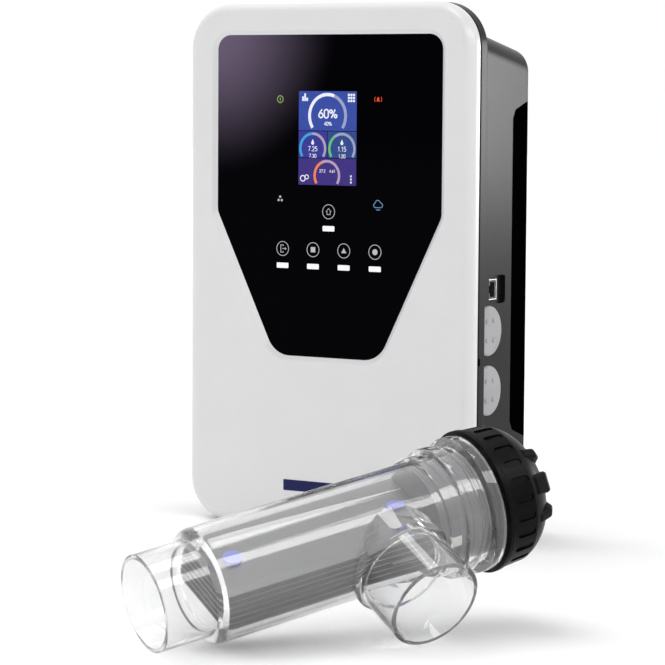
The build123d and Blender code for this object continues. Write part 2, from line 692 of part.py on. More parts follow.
def union_collar():
    """The clear collar at the tube's end, with two rings and the nut's thread zone."""
    collar = rod(COLLAR_RADIUS, TUBE_END, COLLAR_END)
    for start, end, radius in COLLAR_RINGS:
        flange = rod(radius, start, end)
        collar += fillet(flange.edges().filter_by(GeomType.CIRCLE), 2.0)
    return collar - rod(TUBE_BORE_RADIUS, TUBE_END - 1, COLLAR_END + 1)


def electrode_head():
    """The dark plug that carries the plates, with two O-ring grooves."""
    start = PLATE_END + PLATE_TONGUE
    head = rod(TUBE_BORE_RADIUS - GAP, start, COLLAR_END + GAP)
    for ring_start in O_RING_STARTS:
        head -= ring(TUBE_BORE_RADIUS + 1, TUBE_BORE_RADIUS - O_RING_DEPTH, ring_start, ring_start + 3.4)
    for y, z in TERMINALS:
        head -= rod(TERMINAL_RADIUS, start - 1, COLLAR_END + 10, y, z)
    head -= rod(SENSOR_RADIUS, start - 1, start + 20, SENSOR_Y, SENSOR_Z)
    return head - key_block()


def head_flange():
    """The flange over the plug, which the nut pulls onto the collar's end."""
    start = COLLAR_END + GAP
    flange = rod(COLLAR_RADIUS - 0.4, start, start + FLANGE_THICKNESS)
    for y, z in TERMINALS:
        flange -= rod(TERMINAL_RADIUS, start - 1, start + FLANGE_THICKNESS + 1, y, z)
    return flange


def key_block():
    """The locating key's box at the electrode head's rim, on the branch side."""
    half = KEY_WIDTH / 2
    return block(KEY_START, KEY_END, KEY_Y - half, KEY_Y + half, -TUBE_BORE_RADIUS, -KEY_INNER)


def locating_key():
    """The white key that sets the electrode head's angle in the tube."""
    return key_block() & rod(TUBE_BORE_RADIUS - GAP, KEY_START, KEY_END)


def head_o_rings():
    """Two O-rings on the electrode head."""
    outer = TUBE_BORE_RADIUS - 0.2
    return [ring(outer, TUBE_BORE_RADIUS - O_RING_DEPTH, start + 0.2, start + 3.2) for start in O_RING_STARTS]


def plate_offsets():
    """The plates' places across the pack."""
    return [(i - (PLATE_COUNT - 1) / 2) * PLATE_PITCH for i in range(PLATE_COUNT)]


def electrode_plates():
    """The titanium plates, which stand edge on to the branch."""
    plates = []
    half = PLATE_THICKNESS / 2
    end = PLATE_END + PLATE_TONGUE
    for y in plate_offsets():
        plate = block(PLATE_START, end, y - half, y + half, -PLATE_WIDTH / 2, PLATE_WIDTH / 2)
        for x in SPACER_POSITIONS:
            plate -= Pos(x, y, 0) * Rot(90, 0, 0) * Cylinder(2.5, 4)
        plates.append(plate)
    return plates


def plate_spacers():
    """Blue spacer buttons: a pin through the pack with a button on each face, at two places."""
    half = plate_offsets()[-1] + PLATE_THICKNESS / 2
    spacers = []
    for x in SPACER_POSITIONS:
        pin = Pos(x, 0, 0) * Rot(90, 0, 0) * Cylinder(2.4, 2 * half + 2)
        for side in (-1, 1):
            button = Pos(x, side * (half + 1.4), 0) * Rot(90, 0, 0) * Cylinder(SPACER_RADIUS, 2.8)
            pin += button
        spacers.append(pin)
    return spacers


def terminal_studs():
    """Three titanium studs from the plates through the head."""
    return [rod(TERMINAL_RADIUS, PLATE_END + PLATE_TONGUE, COLLAR_END + 16, y, z) for y, z in TERMINALS]


def terminal_nuts():
    """The hexagon nuts on the terminal studs."""
    start = COLLAR_END + GAP + 4
    nuts = []
    for y, z in TERMINALS:
        hexagon = Plane.YZ.offset(start) * Pos(y, z) * RegularPolygon(5.5, 6)
        nuts.append(extrude(hexagon, amount=4.5) - rod(TERMINAL_RADIUS, start - 1, start + 6, y, z))
    return nuts


def flow_sensor_pin():
    """The gas sensor's pin, which reaches from the head to the branch's mouth."""
    return rod(SENSOR_RADIUS, BRANCH_AT - 2, PLATE_END + 24, SENSOR_Y, SENSOR_Z)


def slip_ring():
    """The ring between the nut's shoulder and the electrode head's flange."""
    return ring(39.0, 31.5, SLIP_RING_START, SLIP_RING_END)


def nut_lug(half_width):
    """One rounded lug on the nut's dome, drawn at +Z."""
    start = NUT_SHOULDER - 3
    profile = make_face(Polyline(
        (start, 30), (start, 44.6), (NUT_SHOULDER + 5, 44.4), (LUG_REACH - 3, 41), (LUG_REACH, 37),
        (LUG_REACH, 28), (start + 10, 26), close=True))
    lug = extrude(Plane.XZ * profile, amount=half_width, both=True)
    long_edges = lug.edges().filter_by(lambda e: e.length > 1.8)
    return fillet(long_edges, LUG_ROUNDING)


def nut_profile():
    """Half of the nut's outside, from its rim to its domed end."""
    rim = Polyline((NUT_START, 0), (NUT_START, NUT_RIM_RADIUS), (NUT_START + 3, NUT_RIM_RADIUS),
                   (NUT_START + 4, NUT_RIM_RADIUS - 0.8), (NUT_SHOULDER, NUT_SHOULDER_RADIUS))
    shoulder = (NUT_SHOULDER, NUT_SHOULDER_RADIUS)
    dome = ThreePointArc(shoulder, (NUT_SHOULDER + 13.5, 36), (NUT_TOP, NUT_TOP_RADIUS))
    end = Polyline((NUT_TOP, NUT_TOP_RADIUS), (NUT_TOP, 0), (NUT_START, 0))
    return make_face(rim + dome + end)


def grip_pocket():
    """One grip recess in the nut's skirt, round at both ends, drawn at +Z."""
    bottom = NUT_SHOULDER_RADIUS + 0.8 - GRIP_POCKET_DEPTH
    middle = NUT_START + GRIP_POCKET_INSET + GRIP_POCKET_LENGTH / 2
    outline = Pos(middle, 0) * SlotOverall(GRIP_POCKET_LENGTH, GRIP_POCKET_WIDTH)
    return extrude(Plane.XY.offset(bottom) * outline, amount=6)


def union_nut():
    """The black union nut: a skirt with grip pockets, a domed end and two groups of three lugs."""
    nut = revolve(Plane.XZ * nut_profile(), Axis.X)
    for group in (0, 180):
        for step, half_width in ((-1, LUG_HALF_WIDTH), (0, MAIN_LUG_HALF_WIDTH), (1, LUG_HALF_WIDTH)):
            nut += Rot(NUT_TURNED + group + step * LUG_PITCH, 0, 0) * nut_lug(half_width)
    nut -= rod(COLLAR_RADIUS + GAP, NUT_START - 1, SLIP_RING_END + GAP)
    nut -= rod(29.0, SLIP_RING_END, NUT_TOP - 8)
    pocket = grip_pocket()
    for i in range(GRIP_POCKETS):
        nut -= Rot(NUT_TURNED + (i + 0.5) * 360 / GRIP_POCKETS, 0, 0) * pocket
    return nut


# ---- the cell's place on the floor -------------------------------------------------
def cell_location():
    """The cell rests on its inlet's rim and, rolled over, on its branch's rim."""
    rise = math.radians(CELL_RISE)
    heading = math.radians(CELL_HEADING)
    reach = math.hypot(BRANCH_REACH, PIPE_RADIUS)
    height = PIPE_RADIUS * math.cos(rise) + BRANCH_AT * math.sin(rise)
    dip = math.asin(height / reach) - math.atan2(PIPE_RADIUS, BRANCH_REACH)
    roll = math.asin(math.sin(dip) / math.cos(rise))
    axis = Vector(math.cos(rise) * math.cos(heading), math.cos(rise) * math.sin(heading), math.sin(rise))
    level = Vector(math.sin(heading), -math.cos(heading), 0)
    upright = level.cross(axis)
    branch = level * math.cos(roll) - upright * math.sin(roll)
    inlet = Vector(CELL_INLET_X, CELL_INLET_Y, PIPE_RADIUS * math.cos(rise) + FLOOR_GAP)
    return Plane(origin=inlet, x_dir=axis, z_dir=branch * -1).location


# ---- write one file for each named piece ----------------------------------------------
UNIT_PIECES = {
    "housing_rim": housing_rim,
    "housing_walls": housing_walls,
    "housing_back": housing_back,
    "side_trim_right": lambda: side_trim(1),
    "side_trim_left": lambda: side_trim(-1),
    "upper_cable_grommet": lambda: cable_grommet(GROMMET_HEIGHTS[0]),
    "lower_cable_grommet": lambda: cable_grommet(GROMMET_HEIGHTS[1]),
    "jack_shield": jack_shield,
    "jack_insert": jack_insert,
    "jack_contacts": jack_contacts,
    "wall_bracket": wall_bracket,
    "wall_bracket_screws": wall_bracket_screws,
    "cover_gasket": cover_gasket,
    "power_board": power_board,
    "board_spacers": board_spacers,
    "board_screws": board_screws,
    "transformer_core": transformer_core,
    "transformer_coil": transformer_coil,
    "heatsink": heatsink,
    "power_transistors": power_transistors,
    "filter_capacitors": filter_capacitors,
    "relays": relays,
    "terminal_block": terminal_block,
    "terminal_screws": terminal_screws,
    "fuse_holder": fuse_holder,
    "front_cover": front_cover,
    "window_lens": window_lens,
    "display_module": display_module,
    "display_glass": display_glass,
    "key_light_bars": key_light_bars,
    "control_board": control_board,
    "control_board_connector": control_board_connector,
    "front_badge": front_badge,
}
CELL_PIECES = {
    "cell_tube": cell_tube,
    "inlet_stub": inlet_stub,
    "side_branch": side_branch,
    "union_collar": union_collar,
    "electrode_head": electrode_head,
    "head_flange": head_flange,
    "locating_key": locating_key,
    "head_o_rings": head_o_rings,
    "electrode_plates": electrode_plates,
    "plate_spacers": plate_spacers,
    "terminal_studs": terminal_studs,
    "terminal_nuts": terminal_nuts,
    "flow_sensor_pin": flow_sensor_pin,
    "slip_ring": slip_ring,
    "union_nut": union_nut,
}


def write(name, shape, place=None):
    """Export one node; a list is a group of separate solids."""
    if isinstance(shape, list):
        shape = Compound(children=[Part(s.wrapped) if not isinstance(s, Part) else s for s in shape])
    if place is not None:
        shape = place * shape
    export_step(shape, f"parts/{name}.step")


os.makedirs("parts", exist_ok=True)
for piece_name, make in UNIT_PIECES.items():
    write(piece_name, make())
cell_place = cell_location()
for piece_name, make in CELL_PIECES.items():
    write(piece_name, make(), cell_place)
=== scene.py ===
import json
import math

import bmesh
import bpy
from mathutils import Matrix, Vector


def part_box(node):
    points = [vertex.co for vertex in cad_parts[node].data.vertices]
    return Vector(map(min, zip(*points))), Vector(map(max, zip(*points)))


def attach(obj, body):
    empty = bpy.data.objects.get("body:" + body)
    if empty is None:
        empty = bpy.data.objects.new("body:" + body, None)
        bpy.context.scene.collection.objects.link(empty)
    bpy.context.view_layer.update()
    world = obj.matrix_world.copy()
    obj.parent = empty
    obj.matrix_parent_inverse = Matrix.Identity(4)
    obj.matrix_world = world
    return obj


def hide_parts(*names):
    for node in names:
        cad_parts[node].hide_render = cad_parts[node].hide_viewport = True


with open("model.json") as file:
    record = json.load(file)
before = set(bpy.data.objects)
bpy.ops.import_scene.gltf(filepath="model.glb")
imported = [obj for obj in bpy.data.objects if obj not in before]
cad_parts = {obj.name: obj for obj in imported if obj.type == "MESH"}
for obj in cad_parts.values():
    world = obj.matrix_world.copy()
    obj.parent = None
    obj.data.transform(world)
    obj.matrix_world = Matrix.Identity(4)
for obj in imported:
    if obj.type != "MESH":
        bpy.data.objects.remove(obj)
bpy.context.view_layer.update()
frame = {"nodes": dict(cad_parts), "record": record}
NODES = frame["nodes"]
MM = 0.001

# ---- the camera, and the lights that only reflections see ---------------------
VIEW_AZIMUTH = 32.19
VIEW_PITCH = -4.66
VIEW_ROLL = 0.39
EYE = Vector((1.206, -1.9535, 0.3415))
LENS_MM = 155.4
SENSOR_MM = 36.0
BRIGHT_SIDE = (0.42, 0.72, 0.55)
STREAK_AWAY = 1.2
STREAK_LENGTH = 1.9
STREAK_WIDTH = 0.39
TUBE_MIDDLE = 118.0
COLLAR_MIDDLE = 220.0
TOP_CARD_RISE = Vector((0, 0, 1.4))
SIDE_CARD_PLACE = (0.82, 1.08, 0.40)
SIDE_WALL_POINT = (0.12, 0.02, 0.32)

# ---- places read from the frame ---------------------------------------------
lens_low, lens_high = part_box("window_lens")
display_low, display_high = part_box("display_glass")
bars_low, bars_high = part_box("key_light_bars")
LENS_FACE = lens_low.y
KEY_BAR_WIDTH = 0.011
KEY_BAR_HEIGHT = 0.0042
KEY_ROW_X = (bars_low.x + KEY_BAR_WIDTH / 2, bars_high.x - KEY_BAR_WIDTH / 2)
KEY_PITCH = (KEY_ROW_X[1] - KEY_ROW_X[0]) / 3
KEY_BAR_DROP = 0.0133
KEY_ROW_Z = bars_low.z + KEY_BAR_HEIGHT / 2 + KEY_BAR_DROP
HOME_KEY = ((KEY_ROW_X[0] + KEY_ROW_X[1]) / 2, bars_high.z - KEY_BAR_HEIGHT / 2 + KEY_BAR_DROP)


def record_mount(name):
    """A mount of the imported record, by its name."""
    return next(m for m in frame["record"]["mounts"] if m["name"] == name)


INLET = record_mount("inlet_end")
OUTLET = record_mount("outlet_end")
CELL_AXIS = -Vector(INLET["axis"]).normalized()
BRANCH_AXIS = Vector(OUTLET["axis"]).normalized()
CELL_START = Vector(INLET["pos_m"]) - CELL_AXIS * INLET["dims"]["length_mm"] * MM / 2
CELL_SIDE = CELL_AXIS.cross(BRANCH_AXIS)
CELL_PLACE = Matrix((
    (CELL_AXIS.x, CELL_SIDE.x, -BRANCH_AXIS.x, CELL_START.x),
    (CELL_AXIS.y, CELL_SIDE.y, -BRANCH_AXIS.y, CELL_START.y),
    (CELL_AXIS.z, CELL_SIDE.z, -BRANCH_AXIS.z, CELL_START.z),
    (0, 0, 0, 1),
))
BRANCH_AT = (Vector(OUTLET["pos_m"]) - CELL_START).dot(CELL_AXIS)


# ---- material helpers ---------------------------------------------------------
class Nodes:
    """A short way to build one material's node tree."""

    def __init__(self, name):
        self.material = bpy.data.materials.new(name)
        self.material.use_nodes = True
        self.tree = self.material.node_tree
        self.shader = self.tree.nodes["Principled BSDF"]
        self.output = self.tree.nodes["Material Output"]

    def add(self, kind, **settings):
        node = self.tree.nodes.new(kind)
        for key, value in settings.items():
            if key in node.inputs:
                node.inputs[key].default_value = value
            else:
                setattr(node, key, value)
        return node

    def link(self, a, b):
        self.tree.links.new(a, b)

    def place(self, scale=(1, 1, 1)):
        """Object coordinates, stretched by scale."""
        where = self.add("ShaderNodeTexCoord")
        mapping = self.add("ShaderNodeMapping")
        mapping.inputs["Scale"].default_value = scale
        self.link(where.outputs["Object"], mapping.inputs["Vector"])
        return mapping.outputs["Vector"]

    def noise(self, size_mm, detail=4.0, stretch=(1, 1, 1)):
        """Noise whose grain is about size_mm across."""
        node = self.add("ShaderNodeTexNoise")
        node.inputs["Scale"].default_value = 1.0 / (size_mm * MM)
        node.inputs["Detail"].default_value = detail
        self.link(self.place(stretch), node.inputs["Vector"])
        return node.outputs["Fac"]

    def spread(self, factor, low, high):
        """factor's middle stretch mapped to low..high."""
        node = self.add("ShaderNodeMapRange")
        node.inputs["From Min"].default_value = 0.3
        node.inputs["From Max"].default_value = 0.7
        node.inputs["To Min"].default_value = low
        node.inputs["To Max"].default_value = high
        self.link(factor, node.inputs["Value"])
        return node.outputs["Result"]

    def two_colours(self, factor, first, second):
        """A ramp between two colours."""
        ramp = self.add("ShaderNodeValToRGB")
        ramp.color_ramp.elements[0].position = 0.35
        ramp.color_ramp.elements[1].position = 0.65
        ramp.color_ramp.elements[0].color = (*first, 1)
        ramp.color_ramp.elements[1].color = (*second, 1)
        self.link(factor, ramp.inputs["Fac"])
        return ramp.outputs["Color"]

    def bump(self, height, strength, depth_mm):
        """A bump from height, fed to the shader's normal."""
        node = self.add("ShaderNodeBump")
        node.inputs["Strength"].default_value = strength
        node.inputs["Distance"].default_value = depth_mm * MM
        self.link(height, node.inputs["Height"])
        self.link(node.outputs["Normal"], self.shader.inputs["Normal"])
        return node

    def set(self, **values):
        for key, value in values.items():
            self.shader.inputs[key.replace("_", " ")].default_value = value


def shade(base, change):
    """A colour made lighter or darker by a factor."""
    return tuple(min(1.0, c * change) for c in base)


def moulded(name, colour, rough, grain_mm=0.5, bump=0.12, coat=0.0, vary=0.06, specular=0.5, uneven=0.15):
    """Moulded plastic: faint colour drift, fine skin texture, uneven gloss."""
    m = Nodes(name)
    drift = m.two_colours(m.noise(45.0, 3.0), shade(colour, 1 - vary), shade(colour, 1 + vary))
    m.link(drift, m.shader.inputs["Base Color"])
    gloss = m.spread(m.noise(12.0, 5.0), rough * (1 - uneven), rough * (1 + uneven))
    m.link(gloss, m.shader.inputs["Roughness"])
    m.bump(m.noise(grain_mm, 2.0), bump, 0.02)
    m.set(Specular_IOR_Level=specular, Coat_Weight=coat, Coat_Roughness=0.12)
    return m.material


def metal(name, colour, rough, brushed=(1, 1, 1), grain_mm=0.8, bump=0.15, vary=0.12):
    """Metal with a brushed or rolled grain."""
    m = Nodes(name)
    grain = m.noise(grain_mm, 6.0, brushed)
    tone = m.two_colours(grain, shade(colour, 1 - vary), shade(colour, 1 + vary))
    m.link(tone, m.shader.inputs["Base Color"])
    m.link(m.spread(grain, rough * 0.8, rough * 1.25), m.shader.inputs["Roughness"])
    m.bump(grain, bump, 0.02)
    m.set(Metallic=1.0)
    return m.material


def glowing(name, colour, strength, vary=0.05):
    """A lit light guide or display element."""
    m = Nodes(name)
    drift = m.two_colours(m.noise(3.0, 2.0), shade(colour, 1 - vary), shade(colour, 1 + vary))
    m.link(drift, m.shader.inputs["Emission Color"])
    m.set(Base_Color=(0.01, 0.01, 0.01, 1))
    m.link(m.spread(m.noise(1.5, 2.0), 0.25, 0.35), m.shader.inputs["Roughness"])
    m.set(Emission_Strength=strength, Specular_IOR_Level=0.2)
    return m.material


CLEAR_IOR = 1.22


def clear_plastic(name, tint):
    """Clear moulded acrylic that lets lamps light what is behind it."""
    m = Nodes(name)
    m.set(Base_Color=(*tint, 1), Transmission_Weight=0.95, IOR=CLEAR_IOR)
    m.set(Coat_Weight=1.0, Coat_Roughness=0.03)
    m.link(m.spread(m.noise(14.0, 4.0), 0.0, 0.03), m.shader.inputs["Roughness"])
    m.bump(m.noise(16.0, 2.0), 0.10, 0.10)
    through = m.add("ShaderNodeBsdfTransparent")
    through.inputs["Color"].default_value = (0.9, 0.9, 0.905, 1)
    path = m.add("ShaderNodeLightPath")
    mix = m.add("ShaderNodeMixShader")
    m.link(path.outputs["Is Shadow Ray"], mix.inputs["Fac"])
    m.link(m.shader.outputs["BSDF"], mix.inputs[1])
    m.link(through.outputs["BSDF"], mix.inputs[2])
    m.link(mix.outputs["Shader"], m.output.inputs["Surface"])
    return m.material


def smoked_lens(name):
    """Near-black window with a painted reflection: lighter and purplish towards its top left corner."""
    m = Nodes(name)
    where = m.add("ShaderNodeTexCoord")
    # painted reflection: purplish grey at the lens's top left corner, easing to near black within 0.12 m of
    # it
    away = m.add("ShaderNodeVectorMath", operation="DISTANCE")
    away.inputs[1].default_value = (lens_low.x, lens_low.y, lens_high.z)
    m.link(where.outputs["Object"], away.inputs[0])
    painted_reflection_fade = m.add("ShaderNodeMapRange")
    painted_reflection_fade.inputs["From Min"].default_value = 0.0
    painted_reflection_fade.inputs["From Max"].default_value = 0.12
    m.link(away.outputs["Value"], painted_reflection_fade.inputs["Value"])
    ramp = m.add("ShaderNodeValToRGB")
    ramp.color_ramp.interpolation = "EASE"
    ramp.color_ramp.elements[0].color = (0.15, 0.115, 0.18, 1)
    ramp.color_ramp.elements[1].color = (0.0004, 0.0003, 0.001, 1)
    m.link(painted_reflection_fade.outputs["Result"], ramp.inputs["Fac"])
    m.link(ramp.outputs["Color"], m.shader.inputs["Base Color"])
    m.link(m.spread(m.noise(9.0, 3.0), 0.05, 0.09), m.shader.inputs["Roughness"])
    m.set(Specular_IOR_Level=0.015)
    return m.material


def circuit_board(name):
    """Solder mask with copper traces showing through."""
    m = Nodes(name)
    weave = m.add("ShaderNodeTexBrick")
    weave.inputs["Scale"].default_value = 90.0
    weave.inputs["Color1"].default_value = (0.015, 0.13, 0.06, 1)
    weave.inputs["Color2"].default_value = (0.02, 0.16, 0.07, 1)
    weave.inputs["Mortar"].default_value = (0.05, 0.26, 0.11, 1)
    weave.inputs["Mortar Size"].default_value = 0.035
    turned = m.add("ShaderNodeMapping")
    turned.inputs["Rotation"].default_value = (math.pi / 2, 0, 0)
    m.link(m.place(), turned.inputs["Vector"])
    m.link(turned.outputs["Vector"], weave.inputs["Vector"])
    m.link(weave.outputs["Color"], m.shader.inputs["Base Color"])
    m.link(m.spread(m.noise(4.0), 0.3, 0.45), m.shader.inputs["Roughness"])
    m.bump(weave.outputs["Fac"], 0.3, 0.05)
    return m.material


def srgb(red, green, blue):
    """A display colour, 0 to 255, as linear light."""
    return tuple(((c / 255 + 0.055) / 1.055) ** 2.4 for c in (red, green, blue))


MATERIALS = {
    "cover_white": moulded(
        "cover_white", (0.755, 0.755, 0.76), 0.34, 0.35, 0.05, coat=0.15, vary=0.008, uneven=0.04
    ),
    "housing_black": moulded(
        "housing_black", (0.008, 0.008, 0.0085), 0.3, 0.4, 0.05, vary=0.08, specular=0.1, uneven=0.02
    ),
    "gloss_black": moulded("gloss_black", (0.0006, 0.0006, 0.001), 0.12, 2.0, 0.02, specular=0.0),
    "lens_black": smoked_lens("lens_black"),
    "display_glass": glowing("display_dark", (0.03, 0.06, 0.3), 0.3),
    "light_white": glowing("light_white", (0.95, 0.96, 1.0), 1.0),
    "ink_grey": glowing("ink_grey", srgb(185, 185, 190), 1.0),
    "lamp_green": glowing("lamp_green", srgb(150, 180, 90), 1.0),
    "lamp_red": glowing("lamp_red", srgb(225, 70, 25), 1.0),
    "lamp_blue": glowing("lamp_blue", srgb(105, 150, 195), 1.0),
    "screen_blue": glowing("screen_blue", srgb(42, 68, 160), 1.0),
    "screen_indigo": glowing("screen_indigo", srgb(42, 45, 145), 1.0),
    "screen_teal": glowing("screen_teal", srgb(34, 64, 135), 1.0),
    "screen_purple": glowing("screen_purple", srgb(52, 32, 122), 1.0),
    "screen_white": glowing("screen_white", srgb(235, 238, 250), 1.0),
    "gauge_grey": glowing("gauge_grey", srgb(152, 160, 195), 1.0),
    "gauge_pink": glowing("gauge_pink", srgb(175, 155, 185), 1.0),
    "gauge_cyan": glowing("gauge_cyan", srgb(50, 160, 215), 1.0),
    "gauge_green": glowing("gauge_green", srgb(95, 190, 110), 1.0),
    "gauge_orange": glowing("gauge_orange", srgb(240, 130, 75), 1.0),
    "badge_blue": moulded("badge_blue", (0.010, 0.014, 0.085), 0.25, 1.0, 0.04, specular=0.15),
    "grommet_grey": moulded("grommet_grey", (0.36, 0.36, 0.37), 0.6, 0.3, 0.3, vary=0.05),
    "seal_rubber": moulded("seal_rubber", (0.012, 0.012, 0.012), 0.7, 0.3, 0.3),
    "nickel_steel": metal("nickel_steel", (0.62, 0.61, 0.58), 0.28, (1, 1, 8)),
    "screw_steel": metal("screw_steel", (0.6, 0.6, 0.6), 0.3, (8, 1, 1), 0.5),
    "gold_contact": metal("gold_contact", (0.83, 0.6, 0.22), 0.2, (1, 6, 1), 0.3),
    "socket_black": moulded("socket_black", (0.02, 0.02, 0.02), 0.5, 0.3, 0.25),
    "board_green": circuit_board("board_green"),
    "nylon_white": moulded("nylon_white", (0.72, 0.72, 0.68), 0.45, 0.4, 0.1),
    "core_iron": metal("core_iron", (0.16, 0.16, 0.17), 0.45, (1, 12, 1), 1.0, 0.4),
    "coil_copper": metal("coil_copper", (0.52, 0.22, 0.08), 0.35, (14, 1, 14), 1.2, 0.6),
    "heatsink_aluminium": metal("heatsink_aluminium", (0.6, 0.61, 0.63), 0.35, (1, 1, 0.1), 0.6),
    "capacitor_sleeve": moulded("capacitor_sleeve", (0.02, 0.03, 0.09), 0.3, 1.0, 0.1),
    "relay_blue": moulded("relay_blue", (0.03, 0.09, 0.36), 0.35, 0.5, 0.1),
    "terminal_green": moulded("terminal_green", (0.03, 0.25, 0.09), 0.4, 0.5, 0.1),
    "clear_acrylic": clear_plastic("clear_acrylic", (0.935, 0.936, 0.938)),
    "titanium": metal("titanium", (0.125, 0.125, 0.127), 0.36, (0.15, 1, 1), 0.7, 0.25),
    "spacer_blue": moulded("spacer_blue", (0.09, 0.11, 0.5), 0.4, 0.4, 0.1),
    "head_grey": moulded("head_grey", (0.05, 0.05, 0.055), 0.4, 0.4, 0.15),
    "slip_grey": moulded("slip_grey", (0.2, 0.2, 0.21), 0.4, 0.4, 0.1),
    "nut_black": moulded(
        "nut_black", (0.003, 0.003, 0.0035), 0.34, 0.35, 0.12, vary=0.12, specular=0.06
    ),
}


# ---- mesh helpers ---------------------------------------------------------------
def piece(name, bm, materials, body):
    """A bmesh made into an object that rides on a body."""
    mesh = bpy.data.meshes.new(name)
    bm.normal_update()
    bm.to_mesh(mesh)
    bm.free()
    obj = bpy.data.objects.new(name, mesh)
    bpy.context.scene.collection.objects.link(obj)
    for material in materials:
        mesh.materials.append(MATERIALS[material])
    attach(obj, body)
    return obj


def add_prism(bm, loop, front, thickness, slot=0):
    """A closed plate with an outline of (x, z) points, its face at y=front."""
    ring = [bm.verts.new((x, front, z)) for x, z in loop]
    back = [bm.verts.new((x, front + thickness, z)) for x, z in loop]
    count = len(loop)
    faces = [bm.faces.new(ring), bm.faces.new(list(reversed(back)))]
    for i in range(count):
        j = (i + 1) % count
        faces.append(bm.faces.new((ring[i], back[i], back[j], ring[j])))
    for face in faces:
        face.material_index = slot


def arc_points(cx, cz, radius, start, end, steps):
    """Points on an arc, in degrees from +X towards +Z."""
    turns = [math.radians(start + (end - start) * i / steps) for i in range(steps + 1)]
    return [(cx + radius * math.cos(t), cz + radius * math.sin(t)) for t in turns]


def add_band(bm, cx, cz, radius, width, start, end, front, thickness, slot=0, steps=40):
    """A flat arc of a given width, made of short prisms that share their walls."""
    outer = arc_points(cx, cz, radius + width / 2, start, end, steps)
    inner = arc_points(cx, cz, radius - width / 2, start, end, steps)
    closed = abs(end - start) >= 360
    if closed:
        outer = outer[:-1]
        inner = inner[:-1]
    back = front + thickness
    lines = [(outer, front), (inner, front), (inner, back), (outer, back)]
    rows = [[bm.verts.new((x, y, z)) for x, z in line] for line, y in lines]
    count = len(outer)
    for i in range(count if closed else count - 1):
        j = (i + 1) % count
        for k in range(4):
            this, following = rows[k], rows[(k + 1) % 4]
            bm.faces.new((this[i], this[j], following[j], following[i])).material_index = slot
    if not closed:
        for end in (0, -1):
            bm.faces.new([row[end] for row in rows]).material_index = slot


def rounded_box(cx, cz, width, height, radius, steps=5):
    """The outline of a rounded rectangle."""
    points = []
    for sx, sz, start in ((1, 1, 0), (-1, 1, 90), (-1, -1, 180), (1, -1, 270)):
        corner = (cx + sx * (width / 2 - radius), cz + sz * (height / 2 - radius))
        points += arc_points(*corner, radius, start, start + 90, steps)
    return points


def tidy(bm):
    """Turns the mesh's faces outwards."""
    bmesh.ops.recalc_face_normals(bm, faces=bm.faces)


# ---- window graphics, drawn in millimetres on the lens ------------------------------
FACE = LENS_FACE / MM
DISPLAY_TOP = display_high.z / MM
DISPLAY_HALF = (display_high.x - display_low.x) / 2 / MM
DISPLAY_X = (display_high.x + display_low.x) / 2 / MM
DISPLAY_HEIGHT = (display_high.z - display_low.z) / MM
SURROUND = 0.6
PANEL_LAYER = 0.10
TILE_LAYER = 0.16
INK_LAYER = 0.22
LAYER_SINK = 0.08
SECONDARY_Z = 50.7
KEY_RING_RADIUS = 5.6
KEY_RING_WIDTH = 0.5
POWER_LAMP = (-44.4, 340.7)
ALARM_LAMP = (46.3, 341.1)
LAMP_DOTS = ((-44.0, 263.6), (-45.5, 260.9), (-42.5, 260.9))
CLOUD_ARCS = ((44.6, 258.9, 1.7, 270, 110), (46.6, 260.7, 2.2, 150, 30), (49.2, 259.0, 1.8, 80, -90))
CLOUD_FOOT = (47.0, 255.4)
DIGITS = {
    "0": [("loop", rounded_box(0.28, 0.5, 0.56, 1.0, 0.27))],
    "1": [("line", [(0.06, 0.78), (0.3, 1.0), (0.3, 0.0)])],
    "2": [("line", arc_points(0.28, 0.72, 0.27, 165, -35, 10) + [(0.0, 0.0), (0.57, 0.0)])],
    "3": [("line", arc_points(0.27, 0.75, 0.24, 150, -90, 9) + arc_points(0.27, 0.26, 0.27, 85, -150, 10))],
    "4": [("line", [(0.58, 0.3), (0.0, 0.3), (0.42, 1.0), (0.42, 0.0)])],
    "5": [("line", [(0.52, 1.0), (0.1, 1.0), (0.06, 0.58)] + arc_points(0.26, 0.31, 0.3, 115, -145, 10))],
    "6": [("line", [(0.46, 1.0), (0.2, 0.74)] + arc_points(0.28, 0.3, 0.28, 160, 500, 16))],
    "7": [("line", [(0.0, 1.0), (0.56, 1.0), (0.18, 0.0)])],
    ".": [("line", [(0.1, 0.0), (0.1, 0.1)])],
    "%": [
        ("loop", arc_points(0.18, 0.76, 0.18, 0, 330, 11)),
        ("loop", arc_points(0.82, 0.22, 0.18, 0, 330, 11)),
        ("line", [(0.76, 1.0), (0.24, 0.0)]),
    ],
}
DIGIT_STEP = {".": 0.32, "%": 1.1, "1": 0.62}
USUAL_STEP = 0.76
DIGIT_GAP = 0.2


def add_stroke(bm, points, width, front, thickness, slot=0, closed=False):
    """A flat ribbon of constant width along (x, z) points."""
    rows = []
    count = len(points)
    for i, (x, z) in enumerate(points):
        before = points[i - 1] if closed or i else points[i]
        after = points[(i + 1) % count] if closed or i < count - 1 else points[i]
        first = (Vector((x, z)) - Vector(before)).normalized()
        second = (Vector(after) - Vector((x, z))).normalized()
        along = (first + second).normalized()
        side = Vector((-along.y, along.x))
        straight = first if first.length else second
        square = Vector((-straight.y, straight.x))
        reach = min(1.6, 1.0 / max(0.3, side.dot(square))) * width / 2
        left = Vector((x, z)) + side * reach
        right = Vector((x, z)) - side * reach
        section = ((left, front), (right, front), (right, front + thickness), (left, front + thickness))
        rows.append([bm.verts.new((p.x, y, p.y)) for p, y in section])
    for i in range(count if closed else count - 1):
        this, following = rows[i], rows[(i + 1) % count]
        for k in range(4):
            j = (k + 1) % 4
            bm.faces.new((this[k], following[k], following[j], this[j])).material_index = slot
    if not closed:
        for end in (rows[0], rows[-1]):
            bm.faces.new(end).material_index = slot


